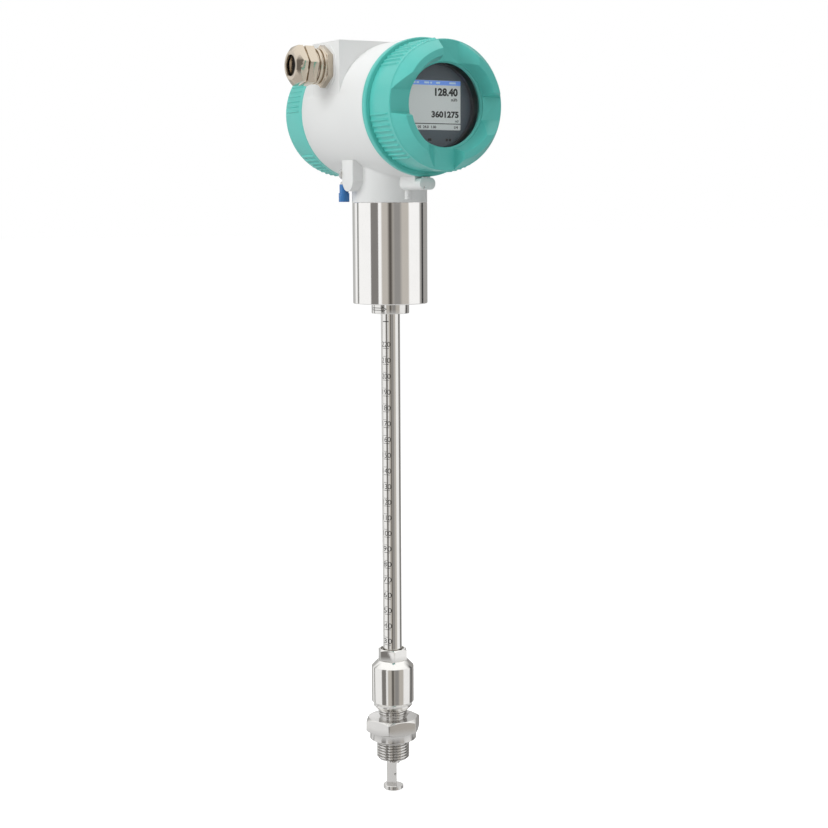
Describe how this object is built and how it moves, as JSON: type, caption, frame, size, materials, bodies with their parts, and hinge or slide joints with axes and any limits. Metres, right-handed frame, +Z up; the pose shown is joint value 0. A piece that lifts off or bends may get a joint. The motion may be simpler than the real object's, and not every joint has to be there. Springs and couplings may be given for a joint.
{
  "type": "flow sensor",
  "caption": "Insertion flow sensor with a two-cover display head, a graduated probe and a G 1/2 compression fitting in which the probe slides and turns.",
  "frame": {"origin": "on the probe axis, at the sealing seat of the G 1/2 process thread; everything below it sits inside the pipe", "axes": "+Z up along the probe towards the head; the display faces -Y and the cable gland faces -X"},
  "size_m": [0.1041, 0.1478, 0.4735],
  "materials": {
    "turned_steel": "bright turned stainless steel",
    "probe_steel": "ground stainless steel with an engraved scale",
    "sleeve_steel": "polished stainless steel",
    "white_paint": "satin white paint on die-cast aluminium",
    "teal_paint": "satin teal paint on die-cast aluminium",
    "seal_rubber": "black rubber",
    "window_glass": "clear toughened glass",
    "black_anodised": "black anodised aluminium",
    "bezel_plastic": "blue-grey moulded plastic",
    "display_face": "grey reflective liquid crystal face",
    "board_green": "green circuit board",
    "terminal_plastic": "green terminal moulding",
    "nickel_brass": "nickel-plated brass",
    "zinc_steel": "zinc-plated steel",
    "tinned_copper": "tinned copper",
    "blue_insulation": "blue crimp insulation"
  },
  "bodies": {
    "fitting": {"process_connection": "turned_steel", "clamping_sleeve": "turned_steel", "compression_nut": "turned_steel", "shaft_seal": "seal_rubber"},
    "clamp": {"clamping_ring": "turned_steel"},
    "probe": {"probe_shaft": "probe_steel", "probe_tip": "turned_steel", "pressure_tubes": "probe_steel", "arrow_ring": "turned_steel", "sensor_sleeve": "sleeve_steel", "sensor_manifold": "turned_steel", "sensor_board": "board_green", "housing_body": "white_paint", "sleeve_seal": "seal_rubber", "front_cover": "teal_paint", "rear_cover": "teal_paint", "front_cover_seal": "seal_rubber", "rear_cover_seal": "seal_rubber", "window_glass": "window_glass", "window_gasket": "seal_rubber", "window_retainer": "black_anodised", "display_bezel": "bezel_plastic", "display_panel": "display_face", "display_board": "board_green", "board_standoffs": "nickel_brass", "board_screws": "zinc_steel", "terminal_spacers": "nickel_brass", "terminal_board": "board_green", "terminal_blocks": "terminal_plastic", "gland_adapter": "nickel_brass", "gland_body": "nickel_brass", "gland_cap": "nickel_brass", "gland_seal": "seal_rubber", "earth_screw": "zinc_steel", "earth_washer": "zinc_steel", "earth_terminal": "tinned_copper", "earth_terminal_sleeve": "blue_insulation", "cover_lock_screw": "zinc_steel"}
  },
  "joints": [
    {"name": "probe_turn", "type": "hinge", "parent": "fitting", "child": "clamp", "pos_m": [0, 0, 0.043], "axis": [0, 0, 1], "continuous": true},
    {"name": "probe_slide", "type": "slide", "parent": "clamp", "child": "probe", "axis": [0, 0, -1], "range_m": [-0.0165, 0.2145]}
  ]
}
